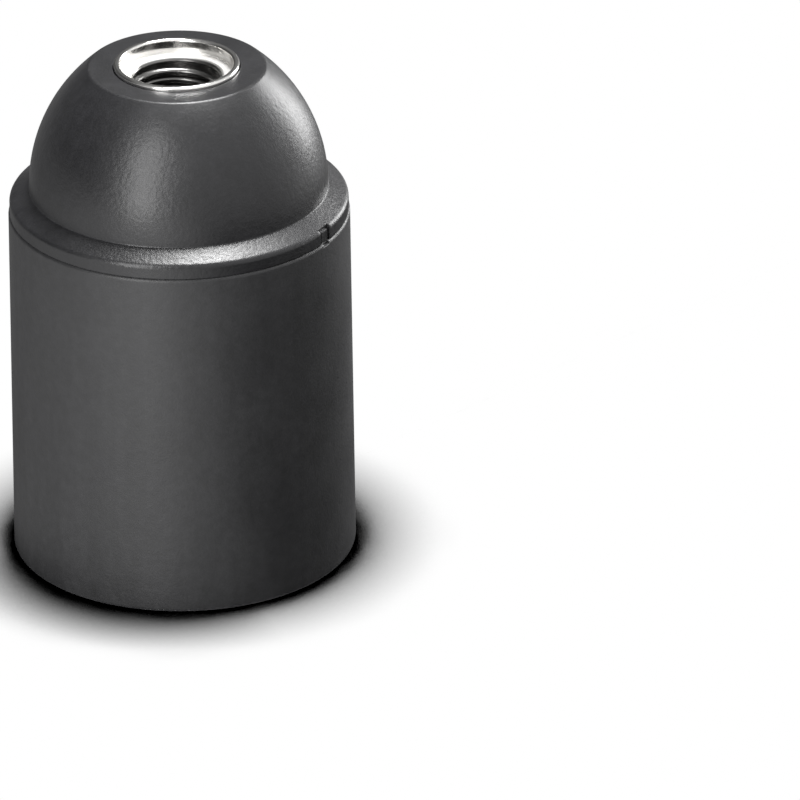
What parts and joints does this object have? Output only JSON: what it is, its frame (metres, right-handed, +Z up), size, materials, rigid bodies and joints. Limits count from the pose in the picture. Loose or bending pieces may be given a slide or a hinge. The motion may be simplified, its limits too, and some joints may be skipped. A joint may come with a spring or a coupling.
{
  "type": "lamp holder",
  "caption": "Domed pendant lamp holder with an E27 screw socket in a plain round skirt, and a metal M10 entry bush in the crown.",
  "frame": {"origin": "centre of the mouth rim's plane, which the holder stands on", "axes": "+Z up along the common axis towards the crown, -Y the front as the picture shows it"},
  "size_m": [0.04, 0.04, 0.0605],
  "materials": {
    "skirt_plastic": "satin moulded, fine grain",
    "cap_plastic": "satin moulded, fine grain",
    "insert_plastic": "moulded, semi-matt",
    "bush_metal": "bright plated",
    "plated_steel": "zinc plated",
    "tinned": "tinned, bright",
    "brass": "plain brass"
  },
  "bodies": {
    "shell": {"skirt": "skirt_plastic"},
    "insert": {"insert": "insert_plastic", "centre_rivet": "brass", "side_rivet": "brass", "centre_terminal": "brass", "side_terminal": "brass"},
    "cap": {"cap": "cap_plastic", "entry_bush": "bush_metal", "bush_washer": "plated_steel", "bush_nut": "plated_steel"},
    "centre_clamp": {"centre_clamp": "plated_steel"},
    "centre_screw": {"centre_screw": "plated_steel"},
    "side_clamp": {"side_clamp": "plated_steel"},
    "side_screw": {"side_screw": "plated_steel"},
    "centre_contact": {"centre_contact": "tinned"},
    "side_contact": {"side_contact": "tinned"}
  },
  "joints": [
    {"name": "cap_turn", "type": "hinge", "parent": "shell", "child": "insert", "pos_m": [0, 0, 0.031], "axis": [0, 0, 1], "range_deg": [0, 1080]},
    {"name": "cap_lift", "type": "slide", "parent": "insert", "child": "cap", "axis": [0, 0, 1], "range_m": [0, 0.00602]},
    {"name": "centre_clamp_lift", "type": "slide", "parent": "insert", "child": "centre_clamp", "axis": [0, 0, 1], "range_m": [0, 0.0025]},
    {"name": "centre_screw_turn", "type": "hinge", "parent": "centre_clamp", "child": "centre_screw", "pos_m": [-0.0051, 0, 0.0405], "axis": [0, 0, 1], "range_deg": [0, 1801]},
    {"name": "side_clamp_lift", "type": "slide", "parent": "insert", "child": "side_clamp", "axis": [0, 0, 1], "range_m": [0, 0.0025]},
    {"name": "side_screw_turn", "type": "hinge", "parent": "side_clamp", "child": "side_screw", "pos_m": [0.0051, 0, 0.0405], "axis": [0, 0, 1], "range_deg": [0, 1801]},
    {"name": "centre_contact_flex", "type": "hinge", "parent": "insert", "child": "centre_contact", "pos_m": [-0.0112, 0, 0.02645], "axis": [0, -1, 0], "range_deg": [0, 7.5], "stiffness_Nm_per_rad": 0.4},
    {"name": "side_contact_flex", "type": "hinge", "parent": "insert", "child": "side_contact", "pos_m": [0.0117, 0, 0.0378], "axis": [0, -1, 0], "range_deg": [0, 2.7], "stiffness_Nm_per_rad": 0.6}
  ],
  "couplings": [
    {"joint": "cap_lift", "follows": "cap_turn", "m_per_rad": 0.00031831},
    {"joint": "centre_screw_turn", "follows": "centre_clamp_lift", "rad_per_m": 12566},
    {"joint": "side_screw_turn", "follows": "side_clamp_lift", "rad_per_m": 12566}
  ]
}
